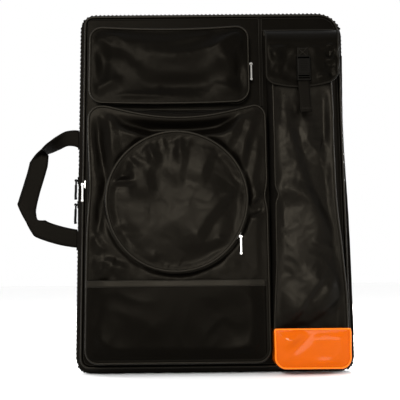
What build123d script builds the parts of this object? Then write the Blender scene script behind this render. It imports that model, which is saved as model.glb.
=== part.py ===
from build123d import *
import os

# A soft zip-round portfolio case for drawing boards, standing on its short edge.
# Millimetres. +Z is up, the front cover faces -Y, the zip opens on the mid-plane y = 0.
# "Depth" below means distance in front of that mid-plane, so the back half has negative depths.

# ---- driving dimensions -------------------------------------------------------------------
case_width = 485.0
case_height = 650.0
half_depth = 26.0
corner_radii = [28.0, 28.0, 46.0, 26.0]  # bottom left, then anticlockwise seen from the front

cloth = 1.5  # coated cloth with its backing
seam_radius = 3.0  # piping, measured across the seam
running_gap = 0.3  # between soft pieces that move past each other

# ---- case halves --------------------------------------------------------------------------
shoulder_radius = 8.0
panel_inset = 14.0
board_thickness = 2.5
board_inset = 16.0
lining_thickness = 1.0
chain_width = 2.6  # half of the zip chain, across
chain_height = 4.5  # how far the chain reaches into the case
tape_depth = 7.0
tape_inset = 0.5
tape_thickness = 1.0
root_start = 0.15  # the back chain half crosses the mid-plane by this much
piping_height = 3.0
piping_width = 3.5
spine_bottom = 64.0
spine_top = 565.0
spine_thickness = 1.0
hinge_outset = 2.0

# ---- front pockets ------------------------------------------------------------------------
top_pocket_box = (-218.0, 64.0, 475.0, 613.0)
top_pocket_radius = 22.0
top_pocket_depth = 16.0
large_pocket_box = (-221.0, 90.0, 24.0, 462.0)
large_pocket_radius = 20.0
large_pocket_depth = 30.0
round_pocket_centre = (-64.0, 294.0)
round_pocket_radius = 119.0
round_pocket_depth = 12.0
pocket_zip_width = 7.0
pocket_piping = 2.0
slip_top = 160.0
slip_inset = 5.0
slip_gap = 6.0
slip_rim = 2.5
hem_width = 12.0
hem_thickness = 1.2
long_pocket_box = (98.0, 222.0, 15.5, 588.0)
long_pocket_radius = 14.0
long_pocket_depth = 32.0
patch_top = 84.0
patch_drop = 4.0
divider_width = 6.0
divider_thickness = 1.2

# ---- flap, webbing and buckle -------------------------------------------------------------
flap_side = 4.0  # how far the flap is wider than the long pocket, to the left
flap_top = 606.0
flap_corner_z = 505.0
flap_drop = 12.0  # the lower edge's bow, at its middle
flap_corner_radius = 20.0
flap_gap = 4.0  # air between the long pocket's face and the flap
flap_binding_width = 5.0
seam_strip_height = 12.0
webbing_width = 20.0
webbing_thickness = 1.5
buckle_x = 158.0
flap_webbing_top = 563.0
buckle_top = 545.0
socket_length = 32.0
buckle_width = 24.0
buckle_thickness = 9.0
buckle_wall = 2.0
buckle_clearance = 0.3
tongue_length = 20.0
plug_length = 12.0
tail_end_z = 446.0

# ---- handle -------------------------------------------------------------------------------
handle_width = 34.0
handle_thickness = 3.0
handle_y = 9.5
handle_route = [(0.0, 416.0), (-80.0, 382.0), (-100.0, 296.0), (-74.0, 238.0), (0.0, 231.0)]
handle_bend = 26.0
anchor_length = 2.4
anchor_gap = 0.4

# ---- sliders and pulls --------------------------------------------------------------------
slider_length = 13.0
slider_width = 6.6
slider_thickness = 2.4
slider_lip = 0.4
slider_gap = 0.4
main_slider_heights = {"upper": 340.0, "lower": 296.0}
main_pull_length = 32.0
top_slider_z = 543.0
large_slider_z = 325.0
round_slider_angle = -30.0
pull_length = 28.0
pull_width = 4.0
pull_thickness = 2.6
pull_pin_radius = 1.2
pull_hole_radius = 1.6
eye_wall = 1.0
pull_gap = 0.5

os.makedirs("parts", exist_ok=True)


def finish(piece, name):
    """Name a piece and write its file."""
    piece.label = name
    export_step(piece, f"parts/{name}.step")
    return piece


def at_depth(depth):
    """The plane facing the front at a depth, with local x along X and local y along Z."""
    return Plane.XZ.offset(depth)


def outline(box, radii, grow=0.0):
    """A rounded rectangle (left, right, bottom, top) grown all round; radii start bottom left."""
    left, right, bottom, top = box
    with BuildSketch(mode=Mode.PRIVATE) as shape:
        with BuildLine():
            FilletPolyline(
                (left - grow, bottom - grow),
                (right + grow, bottom - grow),
                (right + grow, top + grow),
                (left - grow, top + grow),
                radius=[max(radius + grow, 1.0) for radius in radii],
                close=True,
            )
        make_face()
    return shape.sketch


def slab(name, face, low, high, hole=None):
    """A flat piece of the given outline between two depths, with a hole if one is given."""
    with BuildPart() as piece:
        with BuildSketch(at_depth(low)):
            add(face)
            if hole is not None:
                add(hole, mode=Mode.SUBTRACT)
        extrude(amount=high - low)
    return finish(piece.part, name)


# ---- the two halves -----------------------------------------------------------------------
case_box = (-case_width / 2, case_width / 2, 0.0, case_height)


def case_outline(inset=0.0):
    """The case's own outline, drawn in by an inset."""
    return outline(case_box, corner_radii, -inset)


def domed(start, side, inset):
    """A solid of half the case whose far edge is rounded like a stuffed shoulder."""
    with BuildPart() as solid:
        with BuildSketch(at_depth(start)):
            add(case_outline(inset))
        extrude(amount=side * (half_depth - inset) - start)
        far_face = solid.faces().sort_by(Axis.Y)[0 if side > 0 else -1]
        fillet(far_face.edges(), shoulder_radius - inset)
    return solid.part


def case_half(prefix, side, start):
    """One half of the case: side is 1 for the front and -1 for the back."""

    def between(near, far):
        return sorted((side * near, side * far))

    # gusset: a rounded shoulder with an open face, where the panel sits
    outer = domed(side * (chain_width + tape_depth), side, 0.0)
    inner = domed(side * (chain_width + tape_depth), side, cloth)
    with BuildPart() as gusset:
        add(outer)
        add(inner, mode=Mode.SUBTRACT)
        with BuildSketch(at_depth(side * (half_depth - 2 * cloth))):
            add(case_outline(panel_inset))
        extrude(amount=side * 3 * cloth, mode=Mode.SUBTRACT)
    finish(gusset.part, f"{prefix}_gusset")

    # zip: the chain half at the mid-plane with its tape, left out along the spine
    chain_low, chain_high = sorted((start, side * chain_width))
    tape_low, tape_high = between(chain_width, chain_width + tape_depth)
    spine_height = spine_top - spine_bottom
    with BuildPart() as zip_half:
        with BuildSketch(at_depth(chain_low)):
            add(case_outline(0.0))
            add(case_outline(chain_height), mode=Mode.SUBTRACT)
        extrude(amount=chain_high - chain_low)
        with BuildSketch(at_depth(tape_low)):
            add(case_outline(tape_inset))
            add(case_outline(tape_inset + tape_thickness), mode=Mode.SUBTRACT)
        extrude(amount=tape_high - tape_low)
        with Locations((case_width / 2, 0, spine_bottom + spine_height / 2)):
            Box(4 * chain_height, 4 * half_depth, spine_height, mode=Mode.SUBTRACT)
    finish(zip_half.part, f"{prefix}_zip")

    # panel, stiffener board and lining, from the outside in
    panel_low, panel_high = between(half_depth - cloth, half_depth)
    slab(f"{prefix}_panel", case_outline(panel_inset), panel_low, panel_high)
    board_far = half_depth - cloth
    board_low, board_high = between(board_far - board_thickness, board_far)
    slab(f"{prefix}_board", case_outline(board_inset), board_low, board_high)
    lining_far = board_far - board_thickness
    lining_low, lining_high = between(lining_far - lining_thickness, lining_far)
    slab(f"{prefix}_lining", case_outline(board_inset), lining_low, lining_high)

    # piping over the seam between panel and gusset
    piping_low, piping_high = between(half_depth, half_depth + piping_height)
    slab(
        f"{prefix}_piping",
        case_outline(panel_inset - piping_width + seam_radius / 6),
        piping_low,
        piping_high,
        case_outline(panel_inset + seam_radius / 6),
    )

    # spine: this half of the strip that closes the right side where there is no zip
    spine_low, spine_high = sorted((start, side * (half_depth - shoulder_radius)))
    with BuildPart() as spine:
        with BuildSketch(at_depth(spine_low)):
            with Locations((case_width / 2 + spine_thickness / 2, spine_bottom + spine_height / 2)):
                Rectangle(spine_thickness, spine_height)
        extrude(amount=spine_high - spine_low)
    finish(spine.part, f"{prefix}_spine")


case_half("back", -1, root_start)
case_half("front", 1, root_start + running_gap)


# ---- pockets on the cover -----------------------------------------------------------------
def zip_pocket(name, shape, base, depth):
    """A boxed pocket: gusset wall, zip band, face and piping. shape(grow) gives its outline."""
    face_low = base + depth - cloth
    zip_low = face_low - pocket_zip_width
    slab(f"{name}_gusset", shape(0.0), base, zip_low, shape(-cloth))
    slab(f"{name}_zip", shape(0.0), zip_low, face_low, shape(-cloth))
    slab(f"{name}_face", shape(0.0), face_low, base + depth)
    slab(f"{name}_piping", shape(pocket_piping), face_low, base + depth + pocket_piping, shape(0.0))


def top_pocket_shape(grow):
    return outline(top_pocket_box, [top_pocket_radius] * 4, grow)


def large_pocket_shape(grow):
    return outline(large_pocket_box, [large_pocket_radius] * 4, grow)


def round_pocket_shape(grow):
    with BuildSketch(mode=Mode.PRIVATE) as shape:
        with Locations(round_pocket_centre):
            Circle(round_pocket_radius + grow)
    return shape.sketch


large_face = half_depth + large_pocket_depth
zip_pocket("top_pocket", top_pocket_shape, half_depth, top_pocket_depth)
zip_pocket("large_pocket", large_pocket_shape, half_depth, large_pocket_depth)
zip_pocket("round_pocket", round_pocket_shape, large_face, round_pocket_depth)

# slip pocket: a sheet held off the large pocket's face by its sewn sides and bottom
slip_width = large_pocket_box[1] - large_pocket_box[0] - 2 * slip_inset
slip_centre_x = (large_pocket_box[0] + large_pocket_box[1]) / 2
with BuildPart() as slip_pocket:
    with BuildSketch(at_depth(large_face)):
        add(large_pocket_shape(-slip_inset))
        add(large_pocket_shape(-slip_inset - slip_rim), mode=Mode.SUBTRACT)
    extrude(amount=slip_gap)
    with BuildSketch(at_depth(large_face + slip_gap)):
        add(large_pocket_shape(-slip_inset))
    extrude(amount=cloth)
    with Locations((slip_centre_x, -large_face, slip_top + case_height / 2)):
        Box(case_width, 4 * slip_gap, case_height, mode=Mode.SUBTRACT)
finish(slip_pocket.part, "slip_pocket")

hem_low = large_face + slip_gap + cloth
with BuildPart() as slip_hem:
    with BuildSketch(at_depth(hem_low)):
        with Locations((slip_centre_x, slip_top - hem_width / 2)):
            Rectangle(slip_width, hem_width)
    extrude(amount=hem_thickness)
finish(slip_hem.part, "slip_pocket_hem")

# long pocket: open at its top, under the flap
long_left, long_right, long_bottom, long_top = long_pocket_box
long_face = half_depth + long_pocket_depth


def long_pocket_shape(grow, rise=0.0):
    box = (long_left, long_right, long_bottom, long_top + rise)
    return outline(box, [long_pocket_radius] * 4, grow)


def open_top(low, high):
    """A tool that trims everything above the long pocket's mouth."""
    with BuildPart() as tool:
        with BuildSketch(at_depth(low)):
            with Locations(((long_left + long_right) / 2, long_top + case_height / 2)):
                Rectangle(case_width, case_height)
        extrude(amount=high - low)
    return tool.part


rise = 3 * long_pocket_radius
mouth_trim = open_top(0.0, 2 * long_face)
with BuildPart() as long_pocket:
    with BuildSketch(at_depth(half_depth)):
        add(long_pocket_shape(0.0, rise))
        add(long_pocket_shape(-cloth, rise), mode=Mode.SUBTRACT)
    extrude(amount=long_pocket_depth - cloth)
    with BuildSketch(at_depth(long_face - cloth)):
        add(long_pocket_shape(0.0, rise))
    extrude(amount=cloth)
    add(mouth_trim, mode=Mode.SUBTRACT)
finish(long_pocket.part, "long_pocket")

with BuildPart() as long_piping:
    with BuildSketch(at_depth(long_face - cloth)):
        add(long_pocket_shape(pocket_piping, rise))
        add(long_pocket_shape(0.0, rise), mode=Mode.SUBTRACT)
    extrude(amount=cloth + pocket_piping)
    add(mouth_trim, mode=Mode.SUBTRACT)
finish(long_piping.part, "long_pocket_piping")

# end patch: a smooth guard over the long pocket's lower end
with BuildPart() as end_patch:
    with BuildSketch(at_depth(long_face)):
        add(long_pocket_shape(0.0))
        with Locations(((long_left + long_right) / 2, patch_top + case_height / 2)):
            Rectangle(case_width, case_height, mode=Mode.SUBTRACT)
    extrude(amount=cloth)
    with BuildSketch(at_depth(long_face + pocket_piping)):
        add(long_pocket_shape(patch_drop))
        with Locations(((long_left + long_right) / 2, patch_top + case_height / 2)):
            Rectangle(case_width, case_height, mode=Mode.SUBTRACT)
    extrude(amount=cloth)
    with BuildSketch(at_depth(long_face + cloth)):
        add(long_pocket_shape(-seam_radius))
        with Locations(((long_left + long_right) / 2, patch_top + case_height / 2)):
            Rectangle(case_width, case_height, mode=Mode.SUBTRACT)
    extrude(amount=pocket_piping)
finish(end_patch.part, "end_patch")

# divider tape between the top pocket and the long pocket
divider_x = long_left - flap_side - divider_width / 2 - 1.0
divider_low = large_pocket_box[3] + pocket_piping + 2.0
divider_high = case_height - panel_inset - 2.0
with BuildPart() as divider:
    with BuildSketch(at_depth(half_depth)):
        with Locations((divider_x, (divider_low + divider_high) / 2)):
            Rectangle(divider_width, divider_high - divider_low)
    extrude(amount=divider_thickness)
finish(divider.part, "divider_tape")

# ---- flap ---------------------------------------------------------------------------------
flap_left = long_left - flap_side
flap_right = long_right
flap_middle = (flap_left + flap_right) / 2
flap_back = long_face + flap_gap
flap_front = flap_back + cloth
flap_hinge_depth = half_depth + piping_height

with BuildPart() as flap_seam:
    with BuildSketch(at_depth(half_depth)):
        with Locations((flap_middle, flap_top - cloth / 2)):
            Rectangle(flap_right - flap_left, seam_strip_height)
    extrude(amount=cloth)
finish(flap_seam.part, "flap_seam_strip")


def flap_outline(grow=0.0):
    """The flap's front: square at the top, rounded corners and a bowed edge below."""
    left, right = flap_left - grow, flap_right + grow
    low, radius = flap_corner_z - grow, flap_corner_radius + grow
    with BuildSketch(mode=Mode.PRIVATE) as shape:
        with BuildLine():
            top = Line((right, flap_top), (left, flap_top))
            side = Line(top @ 1, (left, low + radius))
            corner = RadiusArc(side @ 1, (left + radius, low), radius=-radius)
            bow = ThreePointArc(corner @ 1, (flap_middle, low - flap_drop), (right - radius, low))
            turn = RadiusArc(bow @ 1, (right, low + radius), radius=-radius)
            Line(turn @ 1, top @ 0)
        make_face()
    return shape.sketch


with BuildPart() as flap:
    with BuildSketch(at_depth(flap_back)):
        add(flap_outline())
    extrude(amount=cloth)
    with BuildSketch(at_depth(flap_hinge_depth + cloth / 2)):
        with Locations((flap_middle, flap_top - cloth / 2)):
            Rectangle(flap_right - flap_left, cloth)
    extrude(amount=flap_back - flap_hinge_depth)
finish(flap.part, "flap")

with BuildPart() as flap_binding:
    with BuildSketch(at_depth(flap_front)):
        add(flap_outline())
        add(flap_outline(-flap_binding_width), mode=Mode.SUBTRACT)
        with Locations((flap_middle, flap_top)):
            Rectangle(case_width, 2 * flap_binding_width, mode=Mode.SUBTRACT)
    extrude(amount=cloth / 2)
finish(flap_binding.part, "flap_binding")

with BuildPart() as flap_webbing:
    with BuildSketch(at_depth(flap_front)):
        with Locations((buckle_x, (flap_webbing_top + buckle_top - webbing_thickness) / 2)):
            Rectangle(webbing_width, flap_webbing_top - buckle_top + webbing_thickness)
    extrude(amount=webbing_thickness)
finish(flap_webbing.part, "flap_webbing")

# ---- buckle -------------------------------------------------------------------------------
buckle_back = flap_front + webbing_thickness + buckle_clearance
buckle_middle = buckle_back + buckle_thickness / 2
socket_bottom = buckle_top - socket_length
mouth_width = buckle_width - 2 * buckle_wall
mouth_thickness = buckle_thickness - 2 * buckle_wall
bar_opening = 3.0

with BuildPart() as socket:
    with BuildSketch(Plane.XY.offset(socket_bottom)):
        with Locations((buckle_x, -buckle_middle)):
            RectangleRounded(buckle_width, buckle_thickness, 3.0)
    extrude(amount=socket_length)
    with BuildSketch(Plane.XY.offset(socket_bottom)):
        with Locations((buckle_x, -buckle_middle)):
            Rectangle(mouth_width, mouth_thickness)
    extrude(amount=tongue_length + 2 * buckle_wall, mode=Mode.SUBTRACT)
    with Locations((buckle_x, -buckle_middle, buckle_top - 2 * bar_opening / 2 - 1.0)):
        Box(webbing_width, 2 * buckle_thickness, bar_opening, mode=Mode.SUBTRACT)
    with Locations((buckle_x, -buckle_middle, socket_bottom + tongue_length / 2 + 2.0)):
        Box(2 * buckle_width, mouth_thickness - 1.0, tongue_length / 2, mode=Mode.SUBTRACT)
finish(socket.part, "buckle_socket")

tongue_width = mouth_width - 2 * buckle_clearance
tongue_thickness = mouth_thickness - 2 * buckle_clearance
plug_top = socket_bottom - buckle_clearance
with BuildPart() as plug:
    with BuildSketch(Plane.XY.offset(plug_top - plug_length)):
        with Locations((buckle_x, -buckle_middle)):
            RectangleRounded(buckle_width, buckle_thickness - 1.0, 2.5)
    extrude(amount=plug_length)
    with BuildSketch(Plane.XY.offset(plug_top)):
        with Locations((buckle_x, -buckle_middle)):
            Rectangle(tongue_width, tongue_thickness)
    extrude(amount=tongue_length)
    with BuildSketch(Plane.XY.offset(plug_top)):
        with Locations((buckle_x, -buckle_middle)):
            Rectangle(tongue_width / 3, 2 * tongue_thickness)
    extrude(amount=tongue_length + 1.0, mode=Mode.SUBTRACT)
    for step in (1, 2):
        with Locations((buckle_x, -buckle_middle, plug_top - step * plug_length / 3)):
            Box(webbing_width, 2 * buckle_thickness, plug_length / 5, mode=Mode.SUBTRACT)
finish(plug.part, "buckle_plug")

tail_top = plug_top - plug_length
with BuildPart() as strap_tail:
    with BuildSketch(at_depth(buckle_middle - webbing_thickness / 2)):
        with Locations((buckle_x, (tail_top + tail_end_z) / 2)):
            Rectangle(webbing_width, tail_top - tail_end_z)
    extrude(amount=webbing_thickness)
finish(strap_tail.part, "strap_tail")

# ---- handle -------------------------------------------------------------------------------
anchor_x = -case_width / 2 - anchor_length
handle_x = anchor_x - anchor_gap - handle_thickness / 2
handle_points = [(handle_x + x, z) for x, z in handle_route]

with BuildPart() as handle_anchors:
    for root in (handle_route[0], handle_route[-1]):
        with Locations((anchor_x + anchor_length / 2, handle_y, root[1])):
            Box(anchor_length, handle_thickness, handle_width)
finish(handle_anchors.part, "handle_anchors")

with BuildPart() as handle:
    with BuildSketch(at_depth(-handle_y - handle_thickness / 2)):
        with BuildLine():
            FilletPolyline(*handle_points, radius=handle_bend)
        trace(line_width=handle_width)
        with Locations((handle_x + case_width / 2, case_height / 2)):
            Rectangle(case_width, case_height, mode=Mode.SUBTRACT)
    extrude(amount=handle_thickness)
    for root in (handle_route[0], handle_route[-1]):
        with Locations((handle_x, handle_y, root[1])):
            Cylinder(handle_thickness / 2, handle_width - 1.0)
finish(handle.part, "handle_loop")


# ---- sliders ------------------------------------------------------------------------------
ear_thickness = (slider_width - pull_width) / 2 - slider_gap
eye_radius = pull_hole_radius + eye_wall
pin_reach = slider_gap + slider_thickness + eye_radius + pull_gap


def slider(name, placement, lip=False):
    """A slider body whose wall is the local plane x = 0, with ears and a pin that hold its pull."""
    with BuildPart() as body:
        with Locations((slider_gap + slider_thickness / 2, 0, 0)):
            Box(slider_thickness, slider_width, slider_length)
        fillet(body.faces().sort_by(Axis.X)[-1].edges(), slider_thickness / 3)
        for side in (-1, 1):
            with BuildSketch(Plane.XZ.offset(side * (slider_width - ear_thickness) / 2)):
                with Locations(((slider_gap + slider_thickness / 2 + pin_reach) / 2, 0)):
                    Rectangle(pin_reach - slider_gap - slider_thickness / 2, 2 * pull_pin_radius)
                with Locations((pin_reach, 0)):
                    Circle(pull_pin_radius)
            extrude(amount=ear_thickness / 2, both=True)
        with BuildSketch(Plane.XZ):
            with Locations((pin_reach, 0)):
                Circle(pull_pin_radius * 0.8)
        extrude(amount=slider_width / 2 - ear_thickness / 2, both=True)
        if lip:
            with Locations((0.0, -(slider_width - slider_lip) / 2, 0)):
                Box(2 * slider_gap, slider_lip, slider_length - 3.0)
    finish(body.part.moved(placement), name)


def pull(name, placement, length):
    """A pull whose eye turns on a slider's pin and whose tab hangs straight down."""
    with BuildPart() as tab:
        with BuildSketch(Plane.XZ.offset(-pull_width / 2)):
            Circle(eye_radius)
            with Locations((0, -length / 2)):
                Rectangle(pull_thickness, length)
            with Locations((0, -length)):
                Circle(pull_thickness * 0.8)
            Circle(pull_hole_radius, mode=Mode.SUBTRACT)
        extrude(amount=pull_width)
    finish(tab.part.moved(placement), name)


turned_left = Location((0, 0, 0), (0, 0, 180))

# the two sliders of the main zip, on its left side; the lip hooks the back chain half only
for name, height in main_slider_heights.items():
    wall = Location((-case_width / 2, 0, height))
    slider(f"main_{name}_slider", wall * turned_left, lip=True)
    pin = Location((-case_width / 2 - pin_reach, 0, height))
    pull(f"main_{name}_pull", pin, main_pull_length)

top_zip_depth = half_depth + top_pocket_depth - cloth - pocket_zip_width / 2
slider("top_pocket_slider", Location((top_pocket_box[1], -top_zip_depth, top_slider_z)))
top_pin = Location((top_pocket_box[1] + pin_reach, -top_zip_depth, top_slider_z))
pull("top_pocket_pull", top_pin, pull_length)

large_zip_depth = large_face - cloth - pocket_zip_width / 2
large_wall = Location((large_pocket_box[0], -large_zip_depth, large_slider_z))
slider("large_pocket_slider", large_wall * turned_left)
large_pin = Location((large_pocket_box[0] - pin_reach, -large_zip_depth, large_slider_z))
pull("large_pocket_pull", large_pin, pull_length)

round_zip_depth = large_face + round_pocket_depth - cloth - pocket_zip_width / 2
round_x, round_z = round_pocket_centre
radial = Location((round_x, -round_zip_depth, round_z), (0, -round_slider_angle, 0))
round_wall = radial * Location((round_pocket_radius, 0, 0))
slider("round_pocket_slider", round_wall)
round_pin = radial * Location((round_pocket_radius + pin_reach, 0, 0))
pull("round_pocket_pull", Location(round_pin.position), pull_length)
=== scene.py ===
"""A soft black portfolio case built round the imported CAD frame.

All lengths are metres, apart from the tables of folds and the handle's stations, which are
millimetres. "Depth" is the distance in front of the zip's mid-plane, so y = -depth.
"""
import math

import bpy
import numpy as np
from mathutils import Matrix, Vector, noise


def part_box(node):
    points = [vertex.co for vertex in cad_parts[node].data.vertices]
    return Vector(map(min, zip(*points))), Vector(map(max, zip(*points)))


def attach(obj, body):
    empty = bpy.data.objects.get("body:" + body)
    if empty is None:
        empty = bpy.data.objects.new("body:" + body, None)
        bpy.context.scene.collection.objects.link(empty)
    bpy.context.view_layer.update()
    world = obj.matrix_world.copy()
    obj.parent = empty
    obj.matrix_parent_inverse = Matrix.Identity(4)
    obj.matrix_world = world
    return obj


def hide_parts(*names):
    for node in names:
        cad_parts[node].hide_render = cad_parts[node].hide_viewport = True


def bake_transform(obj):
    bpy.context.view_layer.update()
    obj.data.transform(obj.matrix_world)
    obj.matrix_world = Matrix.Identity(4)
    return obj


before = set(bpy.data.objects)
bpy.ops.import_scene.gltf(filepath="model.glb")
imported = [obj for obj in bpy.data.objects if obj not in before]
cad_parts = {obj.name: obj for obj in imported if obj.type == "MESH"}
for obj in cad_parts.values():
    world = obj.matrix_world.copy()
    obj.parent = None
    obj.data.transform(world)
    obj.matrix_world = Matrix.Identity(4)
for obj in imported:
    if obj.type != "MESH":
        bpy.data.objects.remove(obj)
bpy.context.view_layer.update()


# ---- small mathematics --------------------------------------------------------------------
def ease(low, high, value):
    """0 below low, 1 above high, smooth between."""
    t = np.clip((value - low) / (high - low), 0.0, 1.0)
    return t * t * (3 - 2 * t)


def bump(value, centre, width):
    """A bell of height 1."""
    return np.exp(-(((value - centre) / width) ** 2))


def rough(x, z, size, seed=0.0):
    """Smooth noise from -1 to 1 over a plane, with features of about the given size."""
    x, z = np.broadcast_arrays(np.asarray(x, float), np.asarray(z, float))
    flat = [noise.noise(Vector((a / size, b / size, seed))) for a, b in zip(x.ravel(), z.ravel())]
    return np.array(flat).reshape(x.shape)


def along(points, closed=False):
    """Distance along a line of points."""
    last = points[:1] if closed else points[:0]
    steps = np.linalg.norm(np.diff(np.concatenate([points, last]), axis=0), axis=1)
    return np.concatenate([[0.0], np.cumsum(steps)])


def resample(points, count, closed=False):
    """The same line with evenly spaced points."""
    at = along(points, closed)
    line = np.concatenate([points, points[:1]]) if closed else points
    wanted = np.linspace(0.0, at[-1], count + 1)[:-1] if closed else np.linspace(0.0, at[-1], count)
    return np.stack([np.interp(wanted, at, line[:, k]) for k in range(line.shape[1])], axis=1)


def unit(vectors):
    """The vectors at length 1."""
    return vectors / np.maximum(np.linalg.norm(vectors, axis=-1, keepdims=True), 1e-12)


def tangents(points, closed=False):
    """Unit vectors along a line of points."""
    if closed:
        return unit(np.roll(points, -1, axis=0) - np.roll(points, 1, axis=0))
    return unit(np.gradient(points, axis=0))


def smooth_line(points, count):
    """A Catmull-Rom curve through a few points."""
    p = np.asarray(points, float)
    p = np.concatenate([[2 * p[0] - p[1]], p, [2 * p[-1] - p[-2]]])
    out = []
    for a, b, c, d in zip(p[:-3], p[1:-2], p[2:-1], p[3:]):
        for t in np.linspace(0, 1, 24, endpoint=False):
            out.append(
                0.5 * (2 * b + (c - a) * t + (2 * a - 5 * b + 4 * c - d) * t**2
                       + (3 * b - a - 3 * c + d) * t**3)
            )
    out.append(p[-2])
    return resample(np.array(out), count)


def line_at(x, depth, z):
    """A line of points (x, y, z); any of the three may be one number."""
    return np.stack(np.broadcast_arrays(x, -depth, z), axis=1)


# ---- outlines -----------------------------------------------------------------------------
def sides_of(box, radii, grow=0.0):
    """The four sides of a rounded rectangle, each from the middle of one corner to the next.

    Sides run bottom, right, top, left, anticlockwise seen from the front.
    """
    left, right, low, high = box[0] - grow, box[1] + grow, box[2] - grow, box[3] + grow
    r = [max(radius + grow, 0.0005) for radius in radii]
    centres = [
        (left + r[0], low + r[0]),
        (right - r[1], low + r[1]),
        (right - r[2], high - r[2]),
        (left + r[3], high - r[3]),
    ]
    sides = []
    for i in range(4):
        j = (i + 1) % 4
        middle = math.radians(225 + 90 * i)
        side = []
        for (cx, cz), radius, turns in ((centres[i], r[i], np.linspace(0, math.pi / 4, 10)),
                                        (centres[j], r[j], np.linspace(math.pi / 4, math.pi / 2, 10))):
            side += [(cx + radius * math.cos(middle + a), cz + radius * math.sin(middle + a)) for a in turns]
        sides.append(np.array(side))
    return sides


def loop_of(box, radii, spacing, grow=0.0):
    """The whole outline as evenly spaced points with its outward normals."""
    dense = np.concatenate([side[:-1] for side in sides_of(box, radii, grow)])
    count = int(along(dense, True)[-1] / spacing)
    points = resample(dense, count, True)
    t = tangents(points, True)
    return points, np.stack([t[:, 1], -t[:, 0]], axis=1)


def circle_sides(centre, radius):
    """A circle as four sides, in the order of sides_of."""
    sides = []
    for i in range(4):
        a = np.radians(225 + 90 * i) + np.linspace(0, math.pi / 2, 40)
        sides.append(np.stack([centre[0] + radius * np.cos(a), centre[1] + radius * np.sin(a)], axis=1))
    return sides


def patch(sides, columns, rows):
    """A grid that fills four sides: arrays x and z of (rows + 1, columns + 1), and u, v."""
    low, right, high, left = sides
    low = resample(low, columns + 1)
    high = resample(high, columns + 1)[::-1]
    left = resample(left, rows + 1)[::-1]
    right = resample(right, rows + 1)
    u = np.linspace(0, 1, columns + 1)[None, :, None]
    v = np.linspace(0, 1, rows + 1)[:, None, None]
    grid = (
        (1 - v) * low[None] + v * high[None] + (1 - u) * left[:, None] + u * right[:, None]
        - (1 - u) * (1 - v) * low[0] - u * (1 - v) * low[-1]
        - (1 - u) * v * high[0] - u * v * high[-1]
    )
    return grid[..., 0], grid[..., 1], u[..., 0] + 0 * v[..., 0], v[..., 0] + 0 * u[..., 0]


# ---- mesh building ------------------------------------------------------------------------
def piece(name, verts, faces, material, body, smooth=True):
    """A new mesh object that rides on a body."""
    mesh = bpy.data.meshes.new(name)
    mesh.from_pydata([tuple(v) for v in np.asarray(verts, float)], [], [tuple(f) for f in faces])
    mesh.update()
    obj = bpy.data.objects.new(name, mesh)
    bpy.context.collection.objects.link(obj)
    mesh.materials.append(material)
    if smooth:
        mesh.polygons.foreach_set("use_smooth", [True] * len(mesh.polygons))
    if body:  # a piece given no body is left unattached
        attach(obj, body)
    return obj


def grid_faces(rows, columns, wrap=False):
    """Quads of a grid of points, which closes round its columns if wrap is set."""
    faces = []
    for i in range(rows - 1):
        for j in range(columns if wrap else columns - 1):
            k = (j + 1) % columns
            faces.append((i * columns + j, i * columns + k, (i + 1) * columns + k, (i + 1) * columns + j))
    return faces


def sheet_piece(name, x, depth, z, material, body="front_cover", slot="black_nylon", thickness=0.0012,
                flip=False, wrap=False):
    """A cloth surface from three grids, given a thickness behind it."""
    rows, columns = x.shape
    verts = np.stack([x, -depth, z], axis=-1).reshape(-1, 3)
    faces = grid_faces(rows, columns, wrap)
    if flip:
        faces = [f[::-1] for f in faces]
    obj = piece(name, verts, faces, material, body)
    solid = obj.modifiers.new("thickness", "SOLIDIFY")
    solid.thickness = thickness
    solid.offset = -1.0
    return obj


def tube(name, line, radius, material, body="front_cover", closed=False, sides=10,
         flatten=1.0):
    """A round or flattened cord laid along points, with closed ends."""
    t = tangents(line, closed)
    across = unit(np.cross(t, (0.0, 1.0, 0.0)))
    up = np.cross(across, t)
    angles = np.linspace(0, 2 * math.pi, sides, endpoint=False)
    ring = (across[:, None] * np.cos(angles)[None, :, None]
            + up[:, None] * flatten * np.sin(angles)[None, :, None])
    verts = (line[:, None] + radius * ring).reshape(-1, 3)
    count = len(line)
    faces = grid_faces(count, sides, True)
    if closed:
        last = (count - 1) * sides
        faces += [(last + k, last + (k + 1) % sides, (k + 1) % sides, k) for k in range(sides)]
    else:
        faces += [tuple(range(sides))[::-1], tuple(range((count - 1) * sides, count * sides))]
    return piece(name, verts, faces, material, body)


def blocks(name, places, size, material, body, bevel=0):
    """Many small blocks, each at (centre, along, out) with its third axis worked out."""
    unit_box = np.array([(a, b, c) for a in (-0.5, 0.5) for b in (-0.5, 0.5) for c in (-0.5, 0.5)])
    quads = [(0, 1, 3, 2), (4, 6, 7, 5), (0, 4, 5, 1), (2, 3, 7, 6), (0, 2, 6, 4), (1, 5, 7, 3)]
    verts, faces = [], []
    for centre, length_axis, out_axis in places:
        a, b = unit(np.asarray(length_axis, float)), unit(np.asarray(out_axis, float))
        c = np.cross(a, b)
        base = len(verts)
        for p in unit_box:
            verts.append(centre + size[0] * p[0] * a + size[1] * p[1] * b + size[2] * p[2] * c)
        faces += [tuple(base + k for k in q) for q in quads]
    obj = piece(name, verts, faces, material, body, smooth=False)
    if bevel:
        edge = obj.modifiers.new("soft edges", "BEVEL")
        edge.width = bevel
        edge.segments = 1
    return obj


def stitches(name, places, body="front_cover", size=(0.0024, 0.0006, 0.0006)):
    """Thread at the given places."""
    blocks(name, places, size, THREAD, body)


def stitch_places(line, out, spacing=0.0034, closed=False):
    """Places for a row of stitches along a line, lying on a surface that faces out."""
    total = along(line, closed)[-1]
    points = resample(line, max(3, int(total / spacing)), closed)
    t = tangents(points, closed)
    return [(p, d, np.asarray(out, float)) for p, d in zip(points, t)]


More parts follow.
